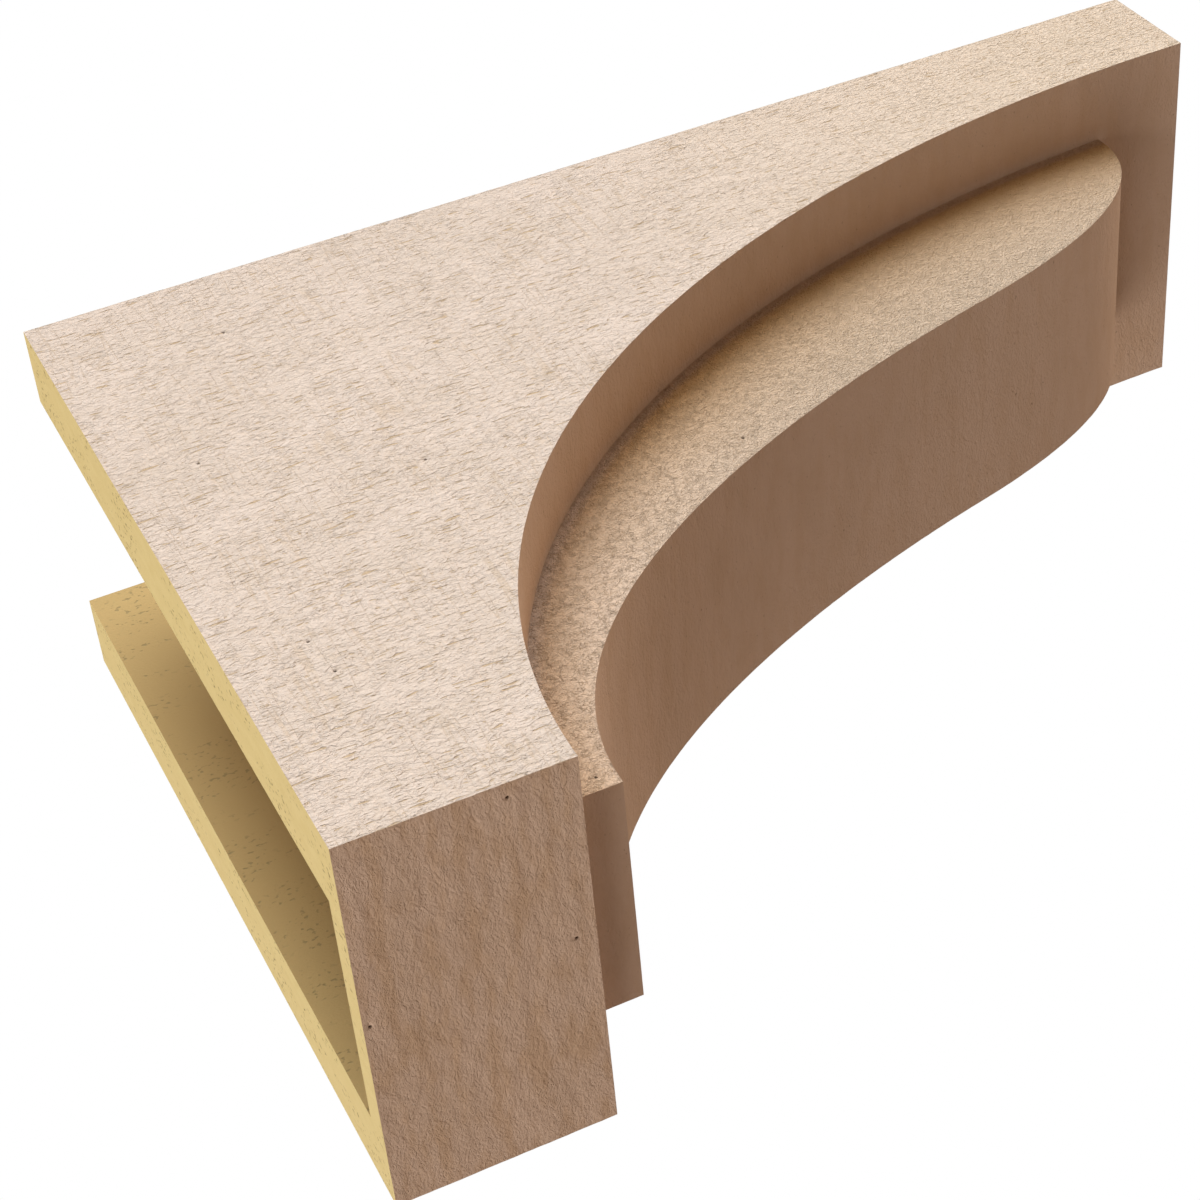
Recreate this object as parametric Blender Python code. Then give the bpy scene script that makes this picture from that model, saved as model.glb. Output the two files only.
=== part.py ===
"""Hollow moulded corbel with a rough-sawn timber look, for the underside of a shelf, mantel or beam.

Metres, +Z up. The wall plane is y = 0, and the corbel reaches out from it along -Y. x runs across
the width. The origin is on the wall plane, halfway across the width and halfway up the thickness
of the bottom wall. The casting is one piece: a full-width body with a concave sweep, a narrower
band that stands proud of the sweep, and a hollow that is open at the wall and on top.
"""
import math

import bpy
import bmesh
from mathutils import Vector
from mathutils.geometry import interpolate_bezier

# The whole corbel
PROJECTION = 0.4572
HEIGHT = 0.3048
WIDTH = 0.1524

# The body: its foot and its front nose, with the concave sweep between them
FOOT_DEPTH = 0.0762
NOSE_HEIGHT = 0.0457
SWEEP_PULL_AT_FOOT = 0.1462
SWEEP_PULL_AT_NOSE = 0.2217

# The band that stands proud of the sweep, three fifths of the width
BAND_WIDTH = WIDTH * 3 / 5
BAND_END_SETBACK = 0.0152
BAND_FOOT_DEPTH = 0.09525
BAND_NOSE_DEPTH = 0.4197
BAND_PULL_AT_FOOT = 0.0730
BAND_PULL_AT_NOSE = 0.0080
INFLECTION_DEPTH = 0.3220
INFLECTION_DROP = 0.1220
INFLECTION_SLOPE = 0.258
INFLECTION_PULL_INWARD = 0.1390
INFLECTION_PULL_OUTWARD = 0.1090

# The hollow: the side walls take a fifth of the width each, the other walls are thinner
SIDE_WALL = WIDTH / 5
SHELL_WALL = 0.0120
CUTTER_OVERRUN = 0.0200

# How far a hidden edge of the band is buried in the body, so that the union is clean
BAND_BURIED = 0.0200

CURVE_STEPS = 48
WELD_DISTANCE = 0.00001
SHARP_ANGLE = math.radians(20)

BOTTOM = -SHELL_WALL / 2
TOP = BOTTOM + HEIGHT

SKIN_COLOUR = (0.60, 0.45, 0.33, 1.0)
FOAM_COLOUR = (0.72, 0.58, 0.30, 1.0)
SKIN_SLOT = 0
FOAM_SLOT = 1


def remove_old_objects():
    """Empty the scene, so that a second run gives the same result as the first."""
    for old in list(bpy.data.objects):
        bpy.data.objects.remove(old, do_unlink=True)


def new_collection(name):
    """A fresh collection in the scene."""
    old = bpy.data.collections.get(name)
    if old is not None:
        bpy.data.collections.remove(old)
    collection = bpy.data.collections.new(name)
    bpy.context.scene.collection.children.link(collection)
    return collection


def make_material(name, colour, roughness):
    """A plain Principled BSDF material."""
    material = bpy.data.materials.get(name) or bpy.data.materials.new(name)
    material.use_nodes = True
    shader = material.node_tree.nodes["Principled BSDF"]
    shader.inputs["Base Color"].default_value = colour
    shader.inputs["Roughness"].default_value = roughness
    shader.inputs["Metallic"].default_value = 0.0
    return material


def bezier(start, start_handle, end_handle, end):
    """Points along one cubic curve, as (out from the wall, height) pairs."""
    points = interpolate_bezier(Vector(start), Vector(start_handle), Vector(end_handle), Vector(end),
                                CURVE_STEPS + 1)
    return [Vector((point[0], point[1])) for point in points]


def sweep_curve():
    """The body's concave sweep, from its foot up and out to its nose."""
    foot = (FOOT_DEPTH, BOTTOM)
    nose = (PROJECTION, TOP - NOSE_HEIGHT)
    return bezier(foot, (foot[0], foot[1] + SWEEP_PULL_AT_FOOT),
                  (nose[0] - SWEEP_PULL_AT_NOSE, nose[1]), nose)


def body_outline():
    """The side view of the full-width body, drawn from the wall's foot round to the wall's top."""
    return [Vector((0, BOTTOM))] + sweep_curve() + [Vector((PROJECTION, TOP)), Vector((0, TOP))]


def band_outline():
    """The side view of the band: a hollow curve below, and a rounded nose above."""
    foot = Vector((BAND_FOOT_DEPTH, BOTTOM + BAND_END_SETBACK))
    inflection = Vector((INFLECTION_DEPTH, TOP - INFLECTION_DROP))
    nose = Vector((BAND_NOSE_DEPTH, TOP - NOSE_HEIGHT))
    along = Vector((1, INFLECTION_SLOPE)).normalized()
    hollow = bezier(foot, foot + Vector((0, BAND_PULL_AT_FOOT)),
                    inflection - along * INFLECTION_PULL_INWARD, inflection)
    round_nose = bezier(inflection, inflection + along * INFLECTION_PULL_OUTWARD,
                        nose - Vector((0, BAND_PULL_AT_NOSE)), nose)
    buried = [
        Vector((nose[0], nose[1] + BAND_BURIED)),
        Vector((FOOT_DEPTH - BAND_BURIED, nose[1] + BAND_BURIED)),
        Vector((FOOT_DEPTH - BAND_BURIED, foot[1])),
    ]
    return hollow + round_nose[1:] + buried


def offset_left(points, distance):
    """An open line of points, each moved to the left of the way that the line runs there."""
    moved = []
    last = len(points) - 1
    for index, point in enumerate(points):
        ahead = points[min(index + 1, last)] - points[max(index - 1, 0)]
        left = Vector((-ahead.y, ahead.x)).normalized()
        moved.append(point + left * distance)
    return moved


def hollow_outline():
    """The side view of the hollow: one wall inside the body, and open at the wall and on top."""
    floor = BOTTOM + SHELL_WALL
    front = PROJECTION - SHELL_WALL
    inner_sweep = [point for point in offset_left(sweep_curve(), SHELL_WALL)
                   if point.y > floor and point.x < front]
    return ([Vector((-CUTTER_OVERRUN, floor)), Vector((FOOT_DEPTH - SHELL_WALL, floor))]
            + inner_sweep
            + [Vector((front, TOP - NOSE_HEIGHT + SHELL_WALL)), Vector((front, TOP + CUTTER_OVERRUN)),
               Vector((-CUTTER_OVERRUN, TOP + CUTTER_OVERRUN))])


def extruded_outline(name, outline, width, collection):
    """A flat outline, drawn in the side view and extruded evenly to both sides of x = 0."""
    curve = bpy.data.curves.new(name + "_outline", "CURVE")
    curve.dimensions = "2D"
    curve.fill_mode = "BOTH"
    curve.extrude = width / 2
    spline = curve.splines.new("POLY")
    spline.points.add(len(outline) - 1)
    for control, point in zip(spline.points, outline):
        control.co = (point.x, point.y, 0, 1)
    spline.use_cyclic_u = True
    drawn = bpy.data.objects.new(name + "_outline", curve)
    # The outline's own x points out from the wall, along -Y, and its own y points up
    drawn.rotation_euler = (math.pi / 2, 0, -math.pi / 2)
    collection.objects.link(drawn)
    bpy.context.view_layer.update()

    depsgraph = bpy.context.evaluated_depsgraph_get()
    mesh = bpy.data.meshes.new_from_object(drawn.evaluated_get(depsgraph))
    mesh.name = name
    mesh.materials.clear()
    solid = bpy.data.objects.new(name, mesh)
    solid.matrix_world = drawn.matrix_world
    collection.objects.link(solid)
    bpy.data.objects.remove(drawn, do_unlink=True)
    bpy.data.curves.remove(curve)

    work = bmesh.new()
    work.from_mesh(mesh)
    bmesh.ops.remove_doubles(work, verts=work.verts, dist=WELD_DISTANCE)
    bmesh.ops.recalc_face_normals(work, faces=work.faces)
    work.to_mesh(mesh)
    work.free()
    return solid


def give_materials(solid, skin, foam, is_bare):
    """Both materials, with the foam on each face whose middle the test picks out."""
    solid.data.materials.append(skin)
    solid.data.materials.append(foam)
    for face in solid.data.polygons:
        middle = solid.matrix_world @ face.center
        face.material_index = FOAM_SLOT if is_bare(middle) else SKIN_SLOT


def on_open_side(middle):
    """Whether a point lies in the wall plane or in the top plane, where the foam is bare."""
    return abs(middle.y) < WELD_DISTANCE or abs(middle.z - TOP) < WELD_DISTANCE


def boolean(solid, tool, operation):
    """Join or cut the solid by a tool that stays hidden."""
    modifier = solid.modifiers.new(tool.name, "BOOLEAN")
    modifier.operation = operation
    modifier.solver = "EXACT"
    modifier.object = tool
    tool.hide_render = True
    tool.display_type = "WIRE"


def build():
    """The one casting, with its band joined on and its hollow cut out."""
    remove_old_objects()
    parts = new_collection("corbel")
    tools = new_collection("corbel_cutters")
    skin = make_material("rough_sawn_skin", SKIN_COLOUR, 0.80)
    foam = make_material("bare_foam", FOAM_COLOUR, 0.90)

    body = extruded_outline("corbel_body", body_outline(), WIDTH, parts)
    give_materials(body, skin, foam, on_open_side)

    band = extruded_outline("raised_band", band_outline(), BAND_WIDTH, tools)
    give_materials(band, skin, foam, lambda middle: False)
    boolean(body, band, "UNION")

    hollow = extruded_outline("hollow", hollow_outline(), WIDTH - 2 * SIDE_WALL, tools)
    give_materials(hollow, skin, foam, lambda middle: True)
    boolean(body, hollow, "DIFFERENCE")

    body.data.shade_smooth()
    body.data.set_sharp_from_angle(angle=SHARP_ANGLE)


build()
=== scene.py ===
"""Looks of the hollow moulded corbel: rough-sawn relief on its skin, bare foam at the back, soft light.

Metres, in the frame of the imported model: the wall plane is y = 0, the corbel reaches out along -Y,
x runs across its width and z is up. Outlines are drawn in the side view as (out, up) pairs, out
being -y.

The casting is one mesh. Each of its surfaces is laid out flat, as places along and across its
grain, filled with small triangles, carried to its place in space and pressed in by its relief. The
surfaces share the points on their edges, so they weld into one closed skin.
"""

import math
import random
from functools import partial

import bpy
import numpy as np
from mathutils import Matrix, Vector, noise
from mathutils.geometry import delaunay_2d_cdt, interpolate_bezier


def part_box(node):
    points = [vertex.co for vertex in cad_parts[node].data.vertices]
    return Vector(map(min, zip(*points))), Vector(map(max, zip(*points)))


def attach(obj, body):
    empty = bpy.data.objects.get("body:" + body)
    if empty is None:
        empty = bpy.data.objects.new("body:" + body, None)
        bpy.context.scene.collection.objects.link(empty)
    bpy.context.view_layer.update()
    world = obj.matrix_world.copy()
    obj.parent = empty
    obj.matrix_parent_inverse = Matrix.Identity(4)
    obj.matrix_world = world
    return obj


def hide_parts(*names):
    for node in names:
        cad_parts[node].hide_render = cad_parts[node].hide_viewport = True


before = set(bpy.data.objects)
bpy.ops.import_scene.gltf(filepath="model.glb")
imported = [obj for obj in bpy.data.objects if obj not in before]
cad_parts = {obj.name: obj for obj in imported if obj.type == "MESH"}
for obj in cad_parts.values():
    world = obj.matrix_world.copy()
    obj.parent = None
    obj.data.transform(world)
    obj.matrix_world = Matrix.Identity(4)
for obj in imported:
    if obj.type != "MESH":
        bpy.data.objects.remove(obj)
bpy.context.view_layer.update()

NODE = "corbel_body"

# The whole corbel, from the frame
LOW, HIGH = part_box(NODE)
HALF_WIDTH = round(HIGH.x, 5)
PROJECTION = round(-LOW.y, 5)
BOTTOM = round(LOW.z, 5)
TOP = round(HIGH.z, 5)

# The sweep between the foot and the front nose
FOOT_DEPTH = 0.0762
NOSE_HEIGHT = 0.0457
SWEEP_PULL_AT_FOOT = 0.1462
SWEEP_PULL_AT_NOSE = 0.2217

# The band that stands proud of the sweep, three fifths of the width
BAND_HALF = HALF_WIDTH * 3 / 5
BAND_END_SETBACK = 0.0152
BAND_FOOT_DEPTH = 0.09525
BAND_NOSE_DEPTH = 0.4197
BAND_PULL_AT_FOOT = 0.0730
BAND_PULL_AT_NOSE = 0.0080
INFLECTION_DEPTH = 0.3220
INFLECTION_DROP = 0.1220
INFLECTION_SLOPE = 0.258
INFLECTION_PULL_INWARD = 0.1390
INFLECTION_PULL_OUTWARD = 0.1090

# The hollow, open at the wall and on top
SHELL_WALL = 0.0120
FLOOR = BOTTOM + SHELL_WALL
INNER_FRONT = PROJECTION - SHELL_WALL

# Spacing of the mesh's points, on edges and inside surfaces, along and across the grain
WIDTH_STEP = HALF_WIDTH / 30
OUTLINE_STEP = 0.0015
STRAIGHT_STEP = 0.0022
INSIDE_STEP = 0.0060
SAWN_LATTICE = (0.0023, 0.0013)
CURVED_LATTICE = (0.0024, 0.0014)
RIM_LATTICE = (0.0025, 0.0025)
INSIDE_LATTICE = (0.0060, 0.0060)
LATTICE_CLEARANCE = 0.6
CURVE_SAMPLES = 600

# Points nearer than this are one point. The shift keeps round values away from the grid's lines
WELD_GRID = 0.00001
WELD_SHIFT = 0.25
FILL_TOLERANCE = 1e-9

# Pits that bubbles left in the casting: a rim, a ring part of the way down, and a middle
PIT_RADIUS = 0.0008
PIT_RINGS = ((1.0, 0.0), (0.55, 0.75))
PIT_DEPTH = 0.0010
PIT_CORNERS = 6
PIT_CLEARANCE = PIT_RADIUS * 1.5

# Where the photograph shows pits, and how many are spread over part of the hidden side
SIDE_PITS = [(0.0620, 0.2598), (0.0285, 0.1886), (0.0940, 0.1511), (0.0274, 0.0826), (0.0294, 0.0651)]
LEDGE_PITS = [(0.0889, 0.0154), (0.2065, 0.1462)]
FOOT_PITS = [(-0.0704, 0.0535), (-0.0065, 0.0693), (-0.0034, 0.0026)]
HIDDEN_PITS = 6
HIDDEN_PITS_LOW = (0.02, 0.03)
HIDDEN_PITS_HIGH = (0.06, 0.28)
HIDDEN_PITS_SEED = 5

# Relief fades towards the edges, so that they stay crisp
EDGE_FADE = 0.0030
EDGE_RELIEF_SHARE = 0.30
RELIEF_BASE = 0.0003
DEEPEST_RELIEF = 0.0010

# Painted shadow and shade on the ledge: a little all over it, most a little way out from its corner with
# the sweep, and least of it low down. Some painted shade also lies on the sweep a little way out from the
# band's root
PAINTED_SHADE_START = 0.0060
PAINTED_SHADE_REACH = 0.0220
PAINTED_SHADE_LEAST_BELOW = 0.10
PAINTED_SHADE_MOST_ABOVE = 0.22
LEDGE_PAINTED_SHADE_EVERYWHERE = 0.08
LEDGE_PAINTED_SHADE = 0.65
SWEEP_PAINTED_SHADE = 0.3

# The camera, fitted to the corners in the photograph
CAMERA_PLACE = (-0.59536, 0.13251, -0.55488)
CAMERA_TURN_DEGREES = (143.627, 25.251, -85.089)
CAMERA_LENS_MM = 83.27
SENSOR_MM = 36.0


# Outlines in the side view

def line(start, end, step):
    """Evenly spaced points on a straight line, both ends included."""
    start, end = np.array(start, float), np.array(end, float)
    count = max(1, round(float(np.hypot(*(end - start))) / step))
    return start + (end - start) * np.linspace(0, 1, count + 1)[:, None]


def bezier(start, start_handle, end_handle, end):
    """A fine polyline along one cubic curve."""
    points = interpolate_bezier(Vector(start), Vector(start_handle), Vector(end_handle), Vector(end),
                                CURVE_SAMPLES)
    fine = np.array([(point[0], point[1]) for point in points])
    fine[0], fine[-1] = start, end
    return fine


def lengths(points):
    """How far along a polyline each of its points lies."""
    return np.concatenate([[0], np.cumsum(np.hypot(*np.diff(points, axis=0).T))])


def evenly(points, step):
    """The same line with about even spacing, both ends kept."""
    along = lengths(points)
    count = max(1, round(along[-1] / step))
    places = np.linspace(0, along[-1], count + 1)
    return np.stack([np.interp(places, along, points[:, axis]) for axis in (0, 1)], 1)


def tangents(points):
    """The unit direction of a polyline at each of its points."""
    step = np.gradient(points, axis=0)
    return step / np.hypot(step[:, 0], step[:, 1])[:, None]


def chain(*pieces):
    """Polylines joined end to end, without their double points."""
    return np.concatenate([pieces[0]] + [piece[1:] for piece in pieces[1:]])


def closed(*pieces):
    """Polylines joined into one loop."""
    return chain(*pieces)[:-1]


def split_at(points, axis, value):
    """A polyline cut in two where it first passes a value on one axis."""
    past = int(np.argmax(points[:, axis] > value))
    before, after = points[past - 1], points[past]
    cut = before + (after - before) * (value - before[axis]) / (after[axis] - before[axis])
    cut[axis] = value
    return np.vstack([points[:past], cut]), np.vstack([cut, points[past:]])


def sweep_line():
    """The body's concave sweep, from its foot up and out to its nose."""
    foot = (FOOT_DEPTH, BOTTOM)
    nose = (PROJECTION, TOP - NOSE_HEIGHT)
    return bezier(foot, (foot[0], foot[1] + SWEEP_PULL_AT_FOOT),
                  (nose[0] - SWEEP_PULL_AT_NOSE, nose[1]), nose)


def band_line():
    """The band's curve, from its foot to its rounded nose."""
    foot = np.array([BAND_FOOT_DEPTH, BOTTOM + BAND_END_SETBACK])
    inflection = np.array([INFLECTION_DEPTH, TOP - INFLECTION_DROP])
    nose = np.array([BAND_NOSE_DEPTH, TOP - NOSE_HEIGHT])
    ahead = np.array([1, INFLECTION_SLOPE]) / math.hypot(1, INFLECTION_SLOPE)
    hollow = bezier(foot, foot + (0, BAND_PULL_AT_FOOT),
                    inflection - ahead * INFLECTION_PULL_INWARD, inflection)
    nose_curve = bezier(inflection, inflection + ahead * INFLECTION_PULL_OUTWARD,
                        nose - (0, BAND_PULL_AT_NOSE), nose)
    return chain(hollow, nose_curve)


def inner_sweep_line():
    """The hollow's curved wall, one wall thickness inside the sweep."""
    sweep = sweep_line()
    ahead = tangents(sweep)
    inside = sweep + np.stack([-ahead[:, 1], ahead[:, 0]], 1) * SHELL_WALL
    kept = inside[(inside[:, 1] > FLOOR) & (inside[:, 0] < INNER_FRONT)]
    return np.vstack([(FOOT_DEPTH - SHELL_WALL, FLOOR), kept,
                      (INNER_FRONT, TOP - NOSE_HEIGHT + SHELL_WALL)])


SWEEP_LOW, rest_of_sweep = split_at(sweep_line(), 1, BOTTOM + BAND_END_SETBACK)
SWEEP_AT_BAND, SWEEP_HIGH = split_at(rest_of_sweep, 0, BAND_NOSE_DEPTH)
SWEEP_LOW = evenly(SWEEP_LOW, OUTLINE_STEP)
SWEEP_AT_BAND = evenly(SWEEP_AT_BAND, OUTLINE_STEP)
SWEEP_HIGH = evenly(SWEEP_HIGH, OUTLINE_STEP)
SWEEP = chain(SWEEP_LOW, SWEEP_AT_BAND, SWEEP_HIGH)

BAND = band_line()
BAND = BAND[BAND[:, 1] < SWEEP_HIGH[0, 1]]
BAND = evenly(np.vstack([BAND, SWEEP_HIGH[0]]), OUTLINE_STEP)
BAND_END = line(SWEEP_AT_BAND[0], BAND[0], OUTLINE_STEP)

FOOT = line((0, BOTTOM), (FOOT_DEPTH, BOTTOM), OUTLINE_STEP)
FRONT = line((PROJECTION, TOP - NOSE_HEIGHT), (PROJECTION, TOP), OUTLINE_STEP)
TOP_OF_HOLLOW = line((INNER_FRONT, TOP), (0, TOP), STRAIGHT_STEP)
TOP_OF_FRONT = line((PROJECTION, TOP), (INNER_FRONT, TOP), STRAIGHT_STEP)
WALL_BELOW_FLOOR = line((0, BOTTOM), (0, FLOOR), STRAIGHT_STEP)
WALL_ABOVE_FLOOR = line((0, FLOOR), (0, TOP), STRAIGHT_STEP)

HOLLOW_FLOOR = line((0, FLOOR), (FOOT_DEPTH - SHELL_WALL, FLOOR), INSIDE_STEP)
HOLLOW_SWEEP = evenly(inner_sweep_line(), INSIDE_STEP)
HOLLOW_FRONT = line((INNER_FRONT, TOP - NOSE_HEIGHT + SHELL_WALL), (INNER_FRONT, TOP), INSIDE_STEP)


# Relief: how far a surface is pressed in past its base, at a place along and across its grain

# Lumps of noise are given by their size along and across the grain and a seed of their own. A layer
# has its depth before them
SAWN_LAYERS = ((0.00005, (0.045, 0.011, 21.5)), (0.00011, (0.011, 0.0036, 7.7)),
               (0.00012, (0.0050, 0.0023, 11.3)))
PLANED_LAYERS = ((0.00022, (0.040, 0.010, 9.3)), (0.00026, (0.0095, 0.0034, 2.9)),
                 (0.00016, (0.0052, 0.0024, 5.1)))
CURVED_LAYERS = ((0.00007, (0.040, 0.010, 9.3)), (0.00004, (0.0090, 0.0028, 2.9)))
FOAM_LAYERS = ((0.00004, (0.020, 0.008, 1.7)),)

# Rough-sawn timber's wavy grain, its torn patches, the dashes in them and the steps of a saw
WAVE_LUMPS = (0.020, 0.010, 3.1)
WAVE_WIDTH = 0.0012
TORN_LUMPS = (0.055, 0.035, 15.9)
TORN_RANGE = (-0.15, 0.35)
DASH_LUMPS = (0.0062, 0.0021, 17.2)
DASH_RANGE = (0.20, 0.50)
DASH_DEPTH = 0.00018
STEP_LUMPS = (0.0080, 0.20, 27.4)
STEP_RANGE = (-0.04, 0.04)
STEP_DEPTH = 0.00014


def soft_noise(along, across, lumps, seed):
    """Noise from about -1 to 1."""
    size_along, size_across, own_seed = lumps
    return np.array([noise.noise(Vector((a, b, seed + own_seed)))
                     for a, b in zip(along / size_along, across / size_across)])


def smooth_step(low, high, values):
    """0 below the low value, 1 above the high one, and a soft rise between them."""
    share = np.clip((values - low) / (high - low), 0, 1)
    return share * share * (3 - 2 * share)


def layered(layers, along, across, seed):
    """The depths of several layers of noise, added up."""
    return sum(depth * soft_noise(along, across, lumps, seed) for depth, lumps in layers)


def sawn(along, across, seed):
    """Rough-sawn timber: a slow swell, wavy ridges along the grain, torn dashes and a saw's steps."""
    wavy = across + WAVE_WIDTH * soft_noise(along, across, WAVE_LUMPS, seed)
    torn = smooth_step(*TORN_RANGE, soft_noise(along, across, TORN_LUMPS, seed))
    dashes = smooth_step(*DASH_RANGE, soft_noise(along, wavy, DASH_LUMPS, seed))
    steps = smooth_step(*STEP_RANGE, soft_noise(along, across, STEP_LUMPS, seed))
    return layered(SAWN_LAYERS, along, wavy, seed) + DASH_DEPTH * dashes * torn + STEP_DEPTH * steps


planed = partial(layered, PLANED_LAYERS)
curved = partial(layered, CURVED_LAYERS)
foamy = partial(layered, FOAM_LAYERS)

# How each kind of surface is made. The coarse value scales the finest relief and chooses the marks of
# its skin, short marks are squeezed along the grain by the shortness, and a turned surface has its
# grain along the second direction of its layout
SIDE_FINISH = {"step": SAWN_LATTICE, "relief": sawn, "coarse": 1.0}
LEDGE_FINISH = {"step": SAWN_LATTICE, "relief": sawn, "coarse": 1.3, "shortness": 1.6}
FOOT_FINISH = {"step": CURVED_LATTICE, "relief": planed, "coarse": 0.55}
CURVE_FINISH = {"step": CURVED_LATTICE, "relief": curved, "coarse": 0.42}
FRONT_FINISH = {"step": CURVED_LATTICE, "relief": curved, "coarse": 0.4}
BAND_END_FINISH = {"step": CURVED_LATTICE, "relief": curved, "coarse": 0.3}
RIM_FINISH = {"step": RIM_LATTICE, "relief": foamy, "bare": True, "turned": True}
# The hollow's surfaces carry painted shade all over
HOLLOW_FINISH = {"step": INSIDE_LATTICE, "relief": foamy, "bare": True, "turned": True, "painted_shade": 1.0}
HOLLOW_SIDE_FINISH = {**HOLLOW_FINISH, "turned": False}


# Surfaces laid out flat

def inside_loops(points, loops):
    """Which points lie inside the loops, by the even-odd rule."""
    inside = np.zeros(len(points), bool)
    for loop in loops:
        for start, end in zip(loop, np.roll(loop, -1, axis=0)):
            if start[1] != end[1]:
                crosses = (start[1] > points[:, 1]) != (end[1] > points[:, 1])
                share = (points[:, 1] - start[1]) / (end[1] - start[1])
                inside ^= crosses & (points[:, 0] < start[0] + share * (end[0] - start[0]))
    return inside


def distance_to(points, targets):
    """How far each point is from the nearest target."""
    nearest = np.full(len(points), np.inf)
    for target in targets:
        nearest = np.minimum(nearest, ((points - target) ** 2).sum(1))
    return np.sqrt(nearest)


def lattice(loops, step):
    """Staggered rows of points inside the loops, kept off their edges."""
    corners = np.concatenate(loops)
    low, high = corners.min(0), corners.max(0)
    first, second = np.meshgrid(np.arange(low[0] + step[0] / 2, high[0], step[0]),
                                np.arange(low[1] + step[1] / 2, high[1], step[1]))
    first[1::2] += step[0] / 2
    points = np.stack([first.ravel(), second.ravel()], 1)
    points = points[inside_loops(points, loops)]
    return points[distance_to(points, corners) > LATTICE_CLEARANCE * min(step)]


def pit_points(centres):
    """The points of each pit, and the share of a pit's depth at each."""
    points, shares = [], []
    for centre in centres:
        for radius, share in PIT_RINGS:
            for corner in range(PIT_CORNERS):
                turn = 2 * math.pi * (corner + radius) / PIT_CORNERS
                points.append((centre[0] + PIT_RADIUS * radius * math.cos(turn),
                               centre[1] + PIT_RADIUS * radius * math.sin(turn)))
                shares.append(share)
        points.append(tuple(centre))
        shares.append(1.0)
    return np.array(points).reshape(-1, 2), np.array(shares)


def fill(flat, loops):
    """Triangles between the points of a flat layout, inside its loops."""
    edges = []
    for loop in loops:
        start = len(edges)
        edges += [(start + i, start + (i + 1) % len(loop)) for i in range(len(loop))]
    found = delaunay_2d_cdt([Vector(point) for point in flat], edges, [], 0, FILL_TOLERANCE)
    sources = [origin[0] for origin in found[3]]
    triangles = np.array([[sources[corner] for corner in face] for face in found[2]])
    return triangles[inside_loops(flat[triangles].mean(1), loops)]


def panel(x, facing):
    """Places a flat layout of (out, up) pairs on a plane across x."""
    def place(flat):
        points = np.column_stack([np.full(len(flat), x), -flat[:, 0], flat[:, 1]])
        return points, np.tile((float(facing), 0.0, 0.0), (len(flat), 1))
    return place


def strip(outline, facing=1):
    """Places a flat layout of (x, length along the outline) pairs on an outline drawn out across x.
    It faces right of the way that the outline runs, or left with facing -1."""
    along, ahead = lengths(outline), tangents(outline)

    def place(flat):
        out, up, ahead_out, ahead_up = (
            np.interp(flat[:, 1], along, column)
            for column in (outline[:, 0], outline[:, 1], ahead[:, 0], ahead[:, 1]))
        normals = np.column_stack([np.zeros(len(flat)), -ahead_up, -ahead_out]) * facing
        return np.column_stack([flat[:, 0], -out, up]), normals
    return place


def painted_shade_beside(flat, corner):
    """How much painted shade each place of a layout has for its distance from a corner."""
    away = distance_to(flat, corner)
    return np.exp(-away / PAINTED_SHADE_REACH) * smooth_step(0, PAINTED_SHADE_START, away)


def surface(loops, place, seed, step, relief, bare=False, turned=False, coarse=1.0, shortness=1.0,
            painted_shade=0.0, pits=()):
    """One surface of the casting, as triangles with their relief and the values that its material
    reads. Painted shade is a number or is worked out from the layout."""
    edge = np.concatenate(loops)
    inner = lattice(loops, step)
    if len(pits):
        inner = inner[distance_to(inner, np.array(pits)) > PIT_CLEARANCE]
    bubbles, bubble_shares = pit_points(pits)
    flat = np.vstack([edge, inner, bubbles])
    pit = np.concatenate([np.zeros(len(edge) + len(inner)), bubble_shares])

    triangles = fill(flat, loops)
    points, normals = place(flat)
    first, second, third = (points[triangles[:, index]] for index in range(3))
    facing = np.einsum("ij,ij->i", np.cross(second - first, third - first), normals[triangles[:, 0]])
    if facing.sum() < 0:
        triangles = triangles[:, ::-1]

    grain = (flat[:, ::-1] if turned else flat) * (shortness, 1)
    inside = smooth_step(0, EDGE_FADE, distance_to(flat, edge))
    fade = EDGE_RELIEF_SHARE + (1 - EDGE_RELIEF_SHARE) * inside
    depth = np.clip(RELIEF_BASE + relief(grain[:, 0], grain[:, 1], seed) * fade, 0, DEEPEST_RELIEF)
    return {
        "bare": bare,
        "points": points,
        "triangles": triangles,
        "shift": -normals * (depth + pit * PIT_DEPTH)[:, None],
        "grain": np.column_stack([grain, np.full(len(flat), seed)]),
        "depth": depth / DEEPEST_RELIEF,
        "pit": pit,
        "coarse": np.full(len(flat), coarse),
        "painted_shade": np.clip(painted_shade(flat), 0, 1) if callable(painted_shade) else np.full(len(flat), painted_shade),
    }


def across(start, end):
    """Evenly spaced places across the width."""
    return np.linspace(start, end, round(abs(end - start) / WIDTH_STEP) + 1)


def pairs(first, second):
    """Points from two lists of places, either of which may be a single number."""
    return np.column_stack(np.broadcast_arrays(first, second)).astype(float)


def strip_loop(outline, half_width, start=0.0, end=None):
    """The edge of a strip's layout: both sides of x = 0, and between two lengths along its outline."""
    along = lengths(outline)
    end = along[-1] if end is None else end
    between = along[(along > start + WELD_GRID) & (along < end - WELD_GRID)]
    places = np.concatenate([[start], between, [end]])
    widths = across(-half_width, half_width)
    return closed(pairs(widths, start), pairs(half_width, places),
                  pairs(widths[::-1], end), pairs(-half_width, places[::-1]))


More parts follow.
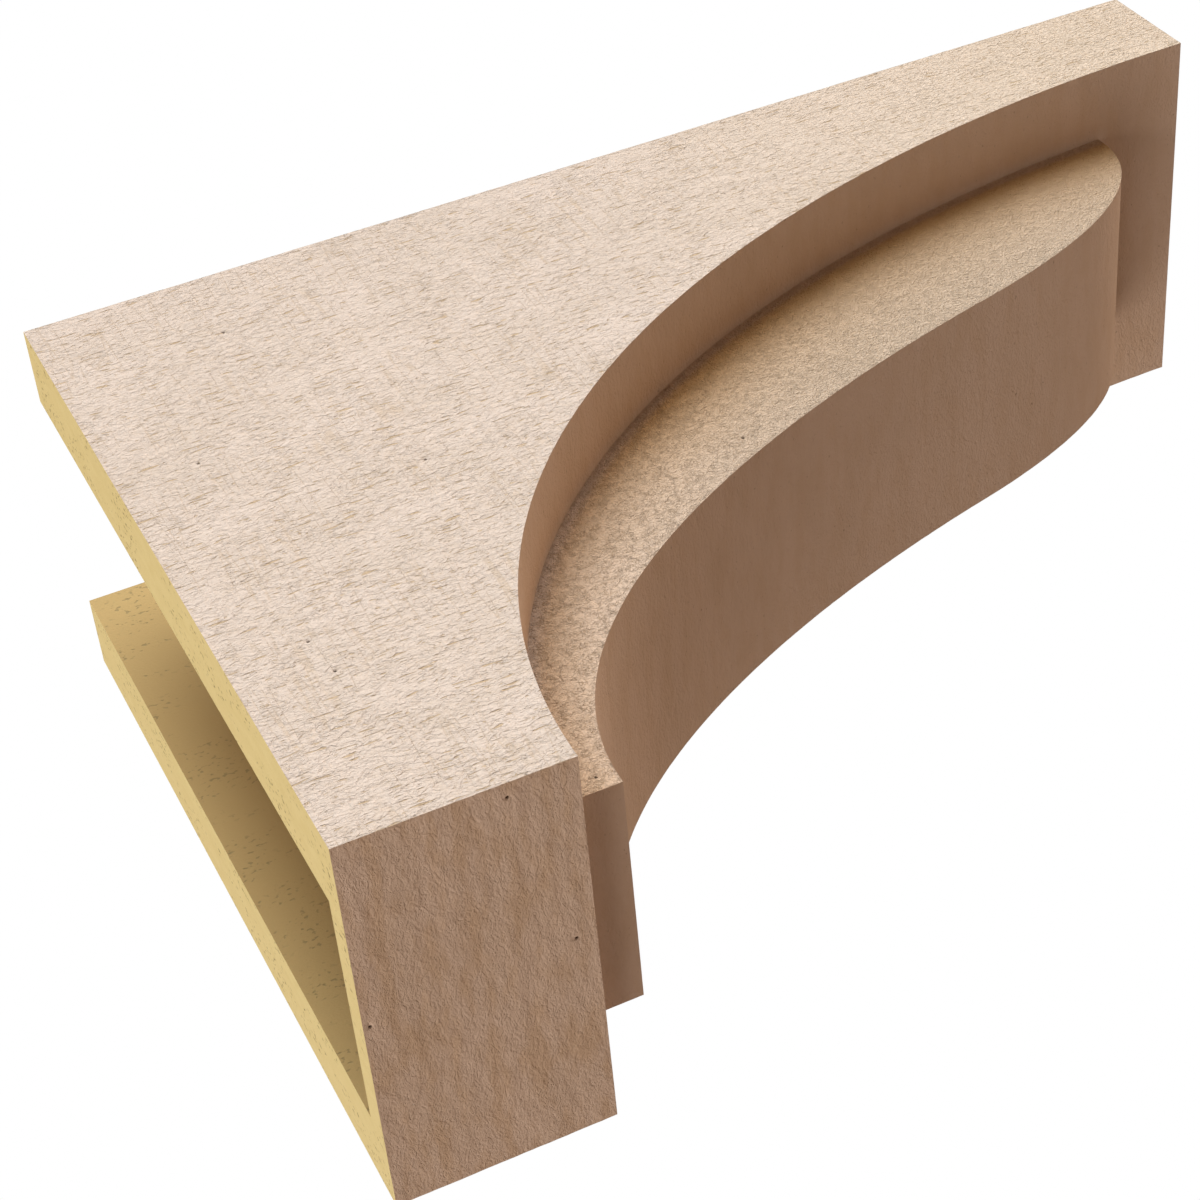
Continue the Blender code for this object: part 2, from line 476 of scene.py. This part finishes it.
def rim_loop(outline, hollow_start):
    """The edge of a rim's layout: the full width, less the hollow from one length to the outline's end."""
    along = lengths(outline)
    beside = along[along > hollow_start - WELD_GRID]
    return closed(
        pairs(across(-HALF_WIDTH, HALF_WIDTH), 0), pairs(HALF_WIDTH, along),
        pairs(across(HALF_WIDTH, BAND_HALF), along[-1]), pairs(BAND_HALF, beside[::-1]),
        pairs(across(BAND_HALF, -BAND_HALF), hollow_start), pairs(-BAND_HALF, beside),
        pairs(across(-BAND_HALF, -HALF_WIDTH), along[-1]), pairs(-HALF_WIDTH, along[::-1]))


def scattered(count, low, high, seed):
    """Places of pits, spread by chance over a rectangle."""
    chance = random.Random(seed)
    return [(chance.uniform(low[0], high[0]), chance.uniform(low[1], high[1])) for _ in range(count)]


def flat_sides():
    """On each hand the outer side, the ledge between the sweep and the band, and the hollow's side."""
    side = closed(FOOT, SWEEP, FRONT, TOP_OF_FRONT, TOP_OF_HOLLOW,
                  WALL_ABOVE_FLOOR[::-1], WALL_BELOW_FLOOR[::-1])
    ledge = closed(BAND_END, BAND, SWEEP_AT_BAND[::-1])
    hollow = closed(HOLLOW_FLOOR, HOLLOW_SWEEP, HOLLOW_FRONT, TOP_OF_HOLLOW, WALL_ABOVE_FLOOR[::-1])
    hidden_pits = scattered(HIDDEN_PITS, HIDDEN_PITS_LOW, HIDDEN_PITS_HIGH, HIDDEN_PITS_SEED)

    # Painted shade on the ledge: a little all over, and painted shadow a little way out from the sweep,
    # more of it higher up
    def ledge_painted_shade(flat):
        share = smooth_step(PAINTED_SHADE_LEAST_BELOW, PAINTED_SHADE_MOST_ABOVE, flat[:, 0])
        return LEDGE_PAINTED_SHADE_EVERYWHERE + LEDGE_PAINTED_SHADE * (1 + share) * painted_shade_beside(flat, SWEEP_AT_BAND)

    made = []
    for hand, side_pits in ((-1, SIDE_PITS), (1, hidden_pits)):
        made += [
            surface([side], panel(hand * HALF_WIDTH, hand), seed=10 + hand, pits=side_pits,
                    **SIDE_FINISH),
            surface([ledge], panel(hand * BAND_HALF, hand), seed=20 + hand, pits=LEDGE_PITS,
                    painted_shade=ledge_painted_shade, **LEDGE_FINISH),
            surface([hollow], panel(hand * BAND_HALF, -hand), seed=30 + hand, **HOLLOW_SIDE_FINISH),
        ]
    return made


def drawn_faces():
    """The surfaces that are drawn out across the width: foot, sweep, band, front, rims and hollow."""
    band_start = lengths(SWEEP_LOW)[-1]
    band_stop = band_start + lengths(SWEEP_AT_BAND)[-1]
    band_root = strip_loop(SWEEP, BAND_HALF, band_start, band_stop)
    top = chain(TOP_OF_FRONT, TOP_OF_HOLLOW)
    wall = chain(WALL_BELOW_FLOOR, WALL_ABOVE_FLOOR)

    # Painted shade on the sweep a little way out from the band's root
    def sweep_painted_shade(flat):
        return SWEEP_PAINTED_SHADE * painted_shade_beside(flat, band_root)

    made = [surface([strip_loop(SWEEP, HALF_WIDTH), band_root], strip(SWEEP), seed=41,
                    painted_shade=sweep_painted_shade, **CURVE_FINISH)]
    for outline, half_width, seed, finish in (
            (BAND, BAND_HALF, 43, CURVE_FINISH),
            (BAND_END, BAND_HALF, 45, BAND_END_FINISH),
            (FOOT, HALF_WIDTH, 47, {**FOOT_FINISH, "pits": FOOT_PITS}),
            (FRONT, HALF_WIDTH, 49, FRONT_FINISH)):
        made.append(surface([strip_loop(outline, half_width)], strip(outline), seed, **finish))
    for outline, facing, seed in ((wall, -1, 51), (top, 1, 53)):
        made.append(surface([rim_loop(outline, SHELL_WALL)], strip(outline, facing), seed, **RIM_FINISH))
    for outline, seed in ((HOLLOW_FLOOR, 55), (HOLLOW_SWEEP, 57), (HOLLOW_FRONT, 59)):
        made.append(surface([strip_loop(outline, BAND_HALF)], strip(outline, -1), seed, **HOLLOW_FINISH))
    return made


# One closed mesh

def weld(surfaces):
    """The one list of points, pressed in by their relief, and where in it each surface's points are."""
    points = np.concatenate([each["points"] for each in surfaces])
    shift = np.concatenate([each["shift"] for each in surfaces])
    owner = np.concatenate([np.full(len(each["points"]), i) for i, each in enumerate(surfaces)])
    cell = np.floor(points / WELD_GRID + WELD_SHIFT).astype(np.int64)
    _, first, shared = np.unique(cell, axis=0, return_index=True, return_inverse=True)
    shared = shared.ravel()
    placed = points[first]
    # A point on an edge is pressed in by each of the surfaces that meet there, once for each
    _, once = np.unique(np.stack([shared, owner], 1), axis=0, return_index=True)
    np.add.at(placed, shared[once], shift[once])
    return placed, shared


def corner_values(surfaces, key):
    """A value of each surface, listed for every corner of every triangle."""
    return np.concatenate([each[key][each["triangles"]].reshape(-1, *each[key].shape[1:])
                           for each in surfaces])


def mark_sharp_edges(mesh, owner):
    """Marks the edges between triangles of different surfaces, given each triangle's surface."""
    edge_of_corner = np.empty(len(mesh.loops), np.int32)
    mesh.loops.foreach_get("edge_index", edge_of_corner)
    owner_of_corner = np.repeat(owner, 3)
    lowest = np.full(len(mesh.edges), owner.max() + 1)
    highest = np.full(len(mesh.edges), -1)
    np.minimum.at(lowest, edge_of_corner, owner_of_corner)
    np.maximum.at(highest, edge_of_corner, owner_of_corner)
    sharp = mesh.attributes.new("sharp_edge", "BOOLEAN", "EDGE")
    sharp.data.foreach_set("value", lowest != highest)


def make_casting(materials):
    """The corbel as one mesh, with sharp edges where its surfaces meet."""
    surfaces = flat_sides() + drawn_faces()
    placed, shared = weld(surfaces)
    triangles, start = [], 0
    for each in surfaces:
        triangles.append(shared[each["triangles"] + start])
        start += len(each["points"])
    owner = np.concatenate([np.full(len(each), i) for i, each in enumerate(triangles)])
    triangles = np.concatenate(triangles)

    mesh = bpy.data.meshes.new("corbel")
    mesh.from_pydata(placed.tolist(), [], triangles.tolist())
    mesh.shade_smooth()
    for material in materials:
        mesh.materials.append(material)
    bare = np.array([each["bare"] for each in surfaces])
    mesh.polygons.foreach_set("material_index", bare[owner].astype(np.int32))
    mark_sharp_edges(mesh, owner)

    for key in ("grain", "depth", "pit", "coarse", "painted_shade"):
        values = corner_values(surfaces, key)
        kind, slot = ("FLOAT", "value") if values.ndim == 1 else ("FLOAT_VECTOR", "vector")
        carried = mesh.attributes.new(key, kind, "CORNER")
        carried.data.foreach_set(slot, values.astype(np.float32).ravel())

    casting = bpy.data.objects.new("corbel", mesh)
    bpy.context.scene.collection.objects.link(casting)
    return casting


# Nodes of the materials and the world. A socket knows its own tree, as its id_data

def node(tree, kind, **settings):
    """A new node, with its settings given by name."""
    made = tree.nodes.new(kind)
    for name, value in settings.items():
        setattr(made, name, value)
    return made


def wire(source, target):
    """Links an output to an input."""
    source.id_data.links.new(source, target)


def attribute(tree, name, output="Fac"):
    """A value that the mesh carries."""
    return node(tree, "ShaderNodeAttribute", attribute_name=name).outputs[output]


def ramp(value, low, high, to_low=0.0, to_high=1.0):
    """The value, brought from one range to another and held to it."""
    made = node(value.id_data, "ShaderNodeMapRange")
    for name, number in (("From Min", low), ("From Max", high), ("To Min", to_low), ("To Max", to_high)):
        made.inputs[name].default_value = number
    wire(value, made.inputs["Value"])
    return made.outputs["Result"]


def texture(grain, lumps, settings, span=None):
    """Soft noise from 0 to 1, or a range of it. The lumps give its size along and across the grain and
    its offset, and the settings give its detail, its roughness and its distortion."""
    size_along, size_across, offset = lumps
    mapping = node(grain.id_data, "ShaderNodeMapping")
    mapping.inputs["Scale"].default_value = (1 / size_along, 1 / size_across, 1)
    mapping.inputs["Location"].default_value = (offset, offset, 0)
    wire(grain, mapping.inputs["Vector"])
    made = node(grain.id_data, "ShaderNodeTexNoise")
    made.inputs["Scale"].default_value = 1.0
    for name, number in zip(("Detail", "Roughness", "Distortion"), settings):
        made.inputs[name].default_value = number
    wire(mapping.outputs["Vector"], made.inputs["Vector"])
    return ramp(made.outputs["Fac"], *span) if span else made.outputs["Fac"]


def mixed(share, first, second):
    """Two colours mixed by a share. Each is a colour or another node's output."""
    made = node(share.id_data, "ShaderNodeMix", data_type="RGBA")
    wire(share, made.inputs["Factor"])
    for name, colour in (("A", first), ("B", second)):
        socket = [s for s in made.inputs if s.name == name and s.type == "RGBA"][0]
        if isinstance(colour, tuple):
            socket.default_value = colour
        else:
            wire(colour, socket)
    return [s for s in made.outputs if s.type == "RGBA"][0]


def first_number(vector):
    """The first number of three."""
    made = node(vector.id_data, "ShaderNodeSeparateXYZ")
    wire(vector, made.inputs[0])
    return made.outputs[0]


def combined(operation, *values):
    """Arithmetic on values, each an output or, after the first, a plain number."""
    made = node(values[0].id_data, "ShaderNodeMath", operation=operation)
    for value, target in zip(values, made.inputs):
        if isinstance(value, float):
            target.default_value = value
        else:
            wire(value, target)
    return made.outputs[0]


plus = partial(combined, "ADD")
minus = partial(combined, "SUBTRACT")
times = partial(combined, "MULTIPLY")
larger = partial(combined, "MAXIMUM")


def thin_lines(value, half_width):
    """1 where the value passes its middle, falling to 0 on both sides."""
    return ramp(combined("ABSOLUTE", minus(value, NOISE_MIDDLE)), 0.0, half_width, 1.0, 0.0)


def bump(height, distance):
    """A normal bent by a height from 0 to 1, which stands for the distance given."""
    made = node(height.id_data, "ShaderNodeBump")
    made.inputs["Distance"].default_value = distance
    wire(height, made.inputs["Height"])
    return made.outputs["Normal"]


def new_material(name, roughness, specular):
    """An empty material with its shader's own values set."""
    material = bpy.data.materials.new(name)
    material.use_nodes = True
    tree = material.node_tree
    shader = tree.nodes["Principled BSDF"]
    shader.inputs["Roughness"].default_value = roughness
    shader.inputs["Specular IOR Level"].default_value = specular
    return material, tree, shader


# Materials

SKIN_ROUGHNESS = 0.85
FOAM_ROUGHNESS = 0.88
FLOOR_ROUGHNESS = 0.9
SPECULAR = 0.20

SKIN_PALE = (0.675, 0.525, 0.41, 1)
SKIN_TAN = (0.64, 0.495, 0.38, 1)
# Colour of the brown marks, which also paints shade in the low places of the relief
SKIN_BROWN_AND_SHADE = (0.51, 0.33, 0.165, 1)
# Colour of the painted shade and shadow on the ledge and the sweep
SKIN_PAINTED_SHADE = (0.58, 0.32, 0.125, 1)
SKIN_SAND = (0.755, 0.575, 0.415, 1)
SKIN_SPECK = (0.30, 0.20, 0.13, 1)
# Colour of the painted shade in the pits
SKIN_PIT_SHADE = (0.09, 0.055, 0.035, 1)
FOAM_PALE = (0.75, 0.615, 0.285, 1)
FOAM_DARK = (0.68, 0.54, 0.225, 1)
FOAM_SPECK = (0.30, 0.21, 0.085, 1)
# Colour of the painted shade inside the hollow
FOAM_PAINTED_SHADE = (0.46, 0.30, 0.115, 1)
FLOOR_PALE = (0.90, 0.89, 0.88, 1)

# What each texture function is given: lumps, settings and, for some, the range that counts and the
# range that it becomes
SKIN_TEXTURES = {
    "torn": ((0.024, 0.016, 7.0), (2, 0.55, 0.0), (0.38, 0.62, 0.30, 0.80)),
    "crinkle": ((0.0036, 0.0022, 0.0), (4, 0.62, 0.7)),
    "sand": ((0.0012, 0.0010, 1.0), (2, 0.60, 0.0)),
    "steps": ((0.0048, 0.0026, 2.0), (3, 0.60, 0.8), (0.47, 0.53)),
    "more_steps": ((0.0040, 0.0022, 5.0), (3, 0.60, 0.8), (0.54, 0.60)),
    "long_dashes": ((0.0085, 0.0013, 3.0), (1, 0.50, 0.3)),
    "short_dashes": ((0.0028, 0.0011, 23.0), (1, 0.50, 0.5)),
    "saw_lines": ((0.0060, 0.090, 4.0), (1, 0.50, 0.15)),
    "saw_patches": ((0.045, 0.030, 47.0), (1, 0.55, 0.0), (0.42, 0.52)),
    "cracks": ((0.0032, 0.0024, 31.0), (3, 0.60, 1.2)),
    "crack_patches": ((0.0060, 0.0040, 37.0), (1, 0.55, 0.0), (0.42, 0.56)),
    "blotches": ((0.060, 0.025, 9.0), (3, 0.55, 0.0), (0.35, 0.65)),
    "mottle": ((0.024, 0.007, 41.0), (3, 0.55, 0.0), (0.45, 0.62, 0.0, 0.34)),
    "specks": ((0.0022, 0.0016, 6.0), (1, 0.55, 0.0), (0.70, 0.76, 0.0, 0.6)),
}
FOAM_TEXTURES = {
    "streaks": ((0.0120, 0.0050, 0.0), (4, 0.60, 0.5), (0.25, 0.75, 0.3, 1.0)),
    "grit": ((0.0012, 0.0010, 3.0), (2, 0.55, 0.0)),
    "pores": ((0.0024, 0.0016, 2.0), (1, 0.55, 0.0), (0.60, 0.68, 0.0, 0.85)),
    "clusters": ((0.030, 0.012, 5.0), (2, 0.55, 0.0), (0.48, 0.56)),
}

# Coarse values between which the skin comes to look sawn, and then cracked, and between which it loses
# its specks and its mottle. The foot has more mottle than the curves
SAWN_RANGE = (0.6, 1.0)
CRACKED_RANGE = (1.1, 1.3)
SPECK_RANGE = (0.8, 0.4)
MOTTLE_RANGE = (1.0, 0.6)
FOOT_MOTTLE_RANGE = (0.42, 0.55, 0.40, 1.0)

# How far along the grain the skin starts to be sandy, and where it is sandy all over. Its cracks fade
# along the grain, from the first share to the second
SANDY_RANGE = (0.20, 0.42)
CRACK_FADE = (0.16, 0.60, 0.85, 0.35)

# Marks in the skin: which part of their noise shows, and how strong they are
NOISE_MIDDLE = 0.5
LONG_DASH_RANGE = (0.68, 0.73)
SHORT_DASH_RANGE = (0.70, 0.76)
MORE_LONG_DASHES_WHERE_TORN = 0.05
MORE_SHORT_DASHES_WHERE_TORN = 0.07
SAW_LINE_HALF_WIDTH = 0.020
SAW_LINE_RIDGES = (0.66, 0.50)
CRACK_HALF_WIDTH = 0.034
SHORT_DASH_SHARE = 0.8
SAW_LINE_SHARE = 0.45
SAWN_MARKS_WHERE_CRACKED = 0.3

# Shares of the bump's whole height, and that height
CRINKLE_HEIGHT = 0.45
SAND_HEIGHT = (0.42, 1.00)
STEP_HEIGHT = 0.15
STEP_HEIGHT_BY_ROUGHNESS = (0.5, 1.0)
MARK_HEIGHT = 0.20
SKIN_BUMP = 0.0016
FOAM_BUMP = 0.0002
PORE_HEIGHT = 0.8

# Painted shade in the low places of the crinkle and in the deepest relief, and brown in crumbs of sand and
# in marks
PAINTED_SHADE_IN_CRINKLE = (0.52, 0.36, 0.0, 0.25)
BROWN_CRUMBS = (0.50, 0.34, 0.0, 0.45)
PAINTED_SHADE_BY_DEPTH = (0.55, 1.0, 0.0, 0.35)
BROWN_MARKS = 0.70
SPECKS_BY_ROUGHNESS = (0.2, 0.8)
# Painted shade in the pits
PIT_RANGE = (0.05, 0.7)


def skin_material():
    """The primed skin, moulded from rough-sawn timber: pale tan, torn in patches, with brown marks, and
    painted shade in its low places, in its pits and beside the ledge's corner.
    """
    material, tree, shader = new_material("rough_sawn_skin", SKIN_ROUGHNESS, SPECULAR)
    grain = attribute(tree, "grain", "Vector")
    depth, pit, coarse, painted_shade = (attribute(tree, name) for name in ("depth", "pit", "coarse", "painted_shade"))
    along = first_number(grain)
    made = {name: texture(grain, *given) for name, given in SKIN_TEXTURES.items()}
    torn, crinkle, sand = made["torn"], made["crinkle"], made["sand"]

    sawn_share = ramp(coarse, *SAWN_RANGE)
    cracked = ramp(coarse, *CRACKED_RANGE)
    sandy = ramp(along, *SANDY_RANGE)
    sandy_share = times(sandy, sawn_share)

    # Long and short dashes along the grain, saw lines across it, and cracks in their place
    long_dashes = ramp(plus(made["long_dashes"], times(torn, MORE_LONG_DASHES_WHERE_TORN)),
                       *LONG_DASH_RANGE)
    short_dashes = ramp(plus(made["short_dashes"], times(torn, MORE_SHORT_DASHES_WHERE_TORN)),
                        *SHORT_DASH_RANGE)
    saw_lines = times(thin_lines(made["saw_lines"], SAW_LINE_HALF_WIDTH),
                      times(ramp(crinkle, *SAW_LINE_RIDGES), made["saw_patches"]))
    cracks = times(thin_lines(made["cracks"], CRACK_HALF_WIDTH), made["crack_patches"])
    cracks = times(cracks, ramp(along, *CRACK_FADE))
    marks = larger(times(short_dashes, SHORT_DASH_SHARE), times(saw_lines, SAW_LINE_SHARE))
    marks = times(larger(long_dashes, marks), sawn_share)
    marks = larger(times(marks, ramp(cracked, 0.0, 1.0, 1.0, SAWN_MARKS_WHERE_CRACKED)),
                   times(cracks, cracked))

    # Fine unevenness and sand stand up, the low steps of torn fibres and the marks go down
    steps = times(plus(made["steps"], made["more_steps"]),
                  ramp(torn, 0.0, 1.0, *STEP_HEIGHT_BY_ROUGHNESS))
    raised = plus(times(minus(crinkle, NOISE_MIDDLE), CRINKLE_HEIGHT),
                  times(sand, ramp(sandy, 0.0, 1.0, *SAND_HEIGHT)))
    height = minus(raised, plus(times(steps, STEP_HEIGHT), times(marks, MARK_HEIGHT)))
    wire(bump(times(height, coarse), SKIN_BUMP), shader.inputs["Normal"])

    mottle = times(made["mottle"], times(ramp(coarse, *MOTTLE_RANGE), ramp(coarse, *FOOT_MOTTLE_RANGE)))
    # Painted shade in the low places of the crinkle and the deepest relief, together with the colour of
    # marks, mottle and crumbs
    shaded_low_places = times(ramp(crinkle, *PAINTED_SHADE_IN_CRINKLE), times(torn, sawn_share))
    crumbs = times(ramp(sand, *BROWN_CRUMBS), sandy_share)
    brown = larger(larger(shaded_low_places, times(marks, BROWN_MARKS)),
                   larger(ramp(depth, *PAINTED_SHADE_BY_DEPTH), larger(mottle, crumbs)))
    specks = times(times(made["specks"], ramp(torn, *SPECKS_BY_ROUGHNESS)), ramp(coarse, *SPECK_RANGE))

    colour = mixed(made["blotches"], SKIN_TAN, SKIN_PALE)
    # Painted shade on the ledge and the sweep, and painted shade in the pits, go over the other colours
    # here
    for share, stain in ((sandy_share, SKIN_SAND), (brown, SKIN_BROWN_AND_SHADE), (painted_shade, SKIN_PAINTED_SHADE),
                         (specks, SKIN_SPECK), (ramp(pit, *PIT_RANGE), SKIN_PIT_SHADE)):
        colour = mixed(share, colour, stain)
    wire(colour, shader.inputs["Base Color"])
    return material


def foam_material():
    """The bare foam, where the casting was cut or never had a skin: yellow, with clusters of pores, and
    painted shade inside the hollow.
    """
    material, tree, shader = new_material("bare_foam", FOAM_ROUGHNESS, SPECULAR)
    grain = attribute(tree, "grain", "Vector")
    made = {name: texture(grain, *given) for name, given in FOAM_TEXTURES.items()}
    pores = times(made["pores"], made["clusters"])
    colour = mixed(made["streaks"], FOAM_DARK, FOAM_PALE)
    # Painted shade darkens the foam inside the hollow
    colour = mixed(attribute(tree, "painted_shade"), colour, FOAM_PAINTED_SHADE)
    colour = mixed(pores, colour, FOAM_SPECK)
    wire(colour, shader.inputs["Base Color"])
    wire(bump(minus(made["grit"], times(pores, PORE_HEIGHT)), FOAM_BUMP), shader.inputs["Normal"])
    return material


# The studio

FLOOR_SIZE = 30.0
FLOOR_HEIGHT = -1.6

# Soft lamps: where each comes from, how wide it is in degrees, and its light on a surface that faces it
LAMPS = {
    "key": ((-1, 0.04, 0.5), 46, (1.35, 1.50, 1.67)),
    "back_fill": ((0.30, 1, -0.45), 60, (0.76, 0.655, 0.58)),
    "front_high": ((0, -1, 0.6), 40, (0.50, 0.40, 0.32)),
    "far_side": ((1, 0.3, 0.2), 30, (0.45, 0.47, 0.50)),
}

# Broad glows of the surroundings: the direction in which each is strongest, and its colour
GLOWS = (((0, -1, -0.1), (0.27, 0.17, 0.10)), ((0, -0.2, -1), (0.12, 0.10, 0.095)))
GLOW_SCALE = 1.5


def add_floor():
    """A plain pale floor, well below the camera that looks up at the corbel. It throws no light back up."""
    bpy.ops.mesh.primitive_plane_add(size=FLOOR_SIZE, location=(0, -PROJECTION / 2, FLOOR_HEIGHT))
    floor = bpy.context.object
    floor.name = "floor"
    material, _, shader = new_material("pale_floor", FLOOR_ROUGHNESS, SPECULAR)
    shader.inputs["Base Color"].default_value = FLOOR_PALE
    floor.data.materials.append(material)
    floor.visible_diffuse = False
    floor.visible_shadow = False


def add_lamps():
    """The lamps, as wide suns."""
    for name, (towards, width, colour) in LAMPS.items():
        lamp = bpy.data.lights.new(name, "SUN")
        lamp.energy = math.pi * max(colour)
        lamp.color = [share / max(colour) for share in colour]
        lamp.angle = math.radians(width)
        sun = bpy.data.objects.new(name, lamp)
        sun.rotation_mode = "QUATERNION"
        sun.rotation_quaternion = Vector(towards).to_track_quat("Z", "Y")
        bpy.context.scene.collection.objects.link(sun)


def background(tree, colour):
    """Even light of one colour from all round."""
    made = node(tree, "ShaderNodeBackground")
    made.inputs["Color"].default_value = (*colour, 1)
    return made


def glow(tree, towards, colour):
    """Light that falls off from one side of the surroundings to nothing half way round."""
    facing = node(tree, "ShaderNodeVectorMath", operation="DOT_PRODUCT")
    facing.inputs[1].default_value = Vector(towards).normalized()
    wire(node(tree, "ShaderNodeTexCoord").outputs["Generated"], facing.inputs[0])
    light = background(tree, colour)
    wire(ramp(facing.outputs["Value"], 0.0, 1.0, 0.0, GLOW_SCALE), light.inputs["Strength"])
    return light.outputs[0]


def add_world():
    """White behind the object, and broad glows around it."""
    world = bpy.data.worlds.new("studio")
    world.use_nodes = True
    bpy.context.scene.world = world
    tree = world.node_tree
    tree.nodes.clear()
    total = node(tree, "ShaderNodeAddShader")
    for each, target in zip(GLOWS, total.inputs):
        wire(glow(tree, *each), target)
    chooser = node(tree, "ShaderNodeMixShader")
    wire(node(tree, "ShaderNodeLightPath").outputs["Is Camera Ray"], chooser.inputs[0])
    wire(total.outputs[0], chooser.inputs[1])
    wire(background(tree, (1, 1, 1)).outputs[0], chooser.inputs[2])
    wire(chooser.outputs[0], node(tree, "ShaderNodeOutputWorld").inputs["Surface"])


def add_camera():
    """The photograph's view: from behind the wall plane and below, looking up."""
    data = bpy.data.cameras.new("camera")
    data.sensor_width = SENSOR_MM
    data.lens = CAMERA_LENS_MM
    camera = bpy.data.objects.new("camera", data)
    camera.location = CAMERA_PLACE
    camera.rotation_euler = [math.radians(turn) for turn in CAMERA_TURN_DEGREES]
    bpy.context.scene.collection.objects.link(camera)
    bpy.context.scene.camera = camera


casting = make_casting([skin_material(), foam_material()])
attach(casting, "root")
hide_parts(NODE)
add_floor()
add_lamps()
add_world()
add_camera()
bpy.context.scene.view_settings.view_transform = "Standard"
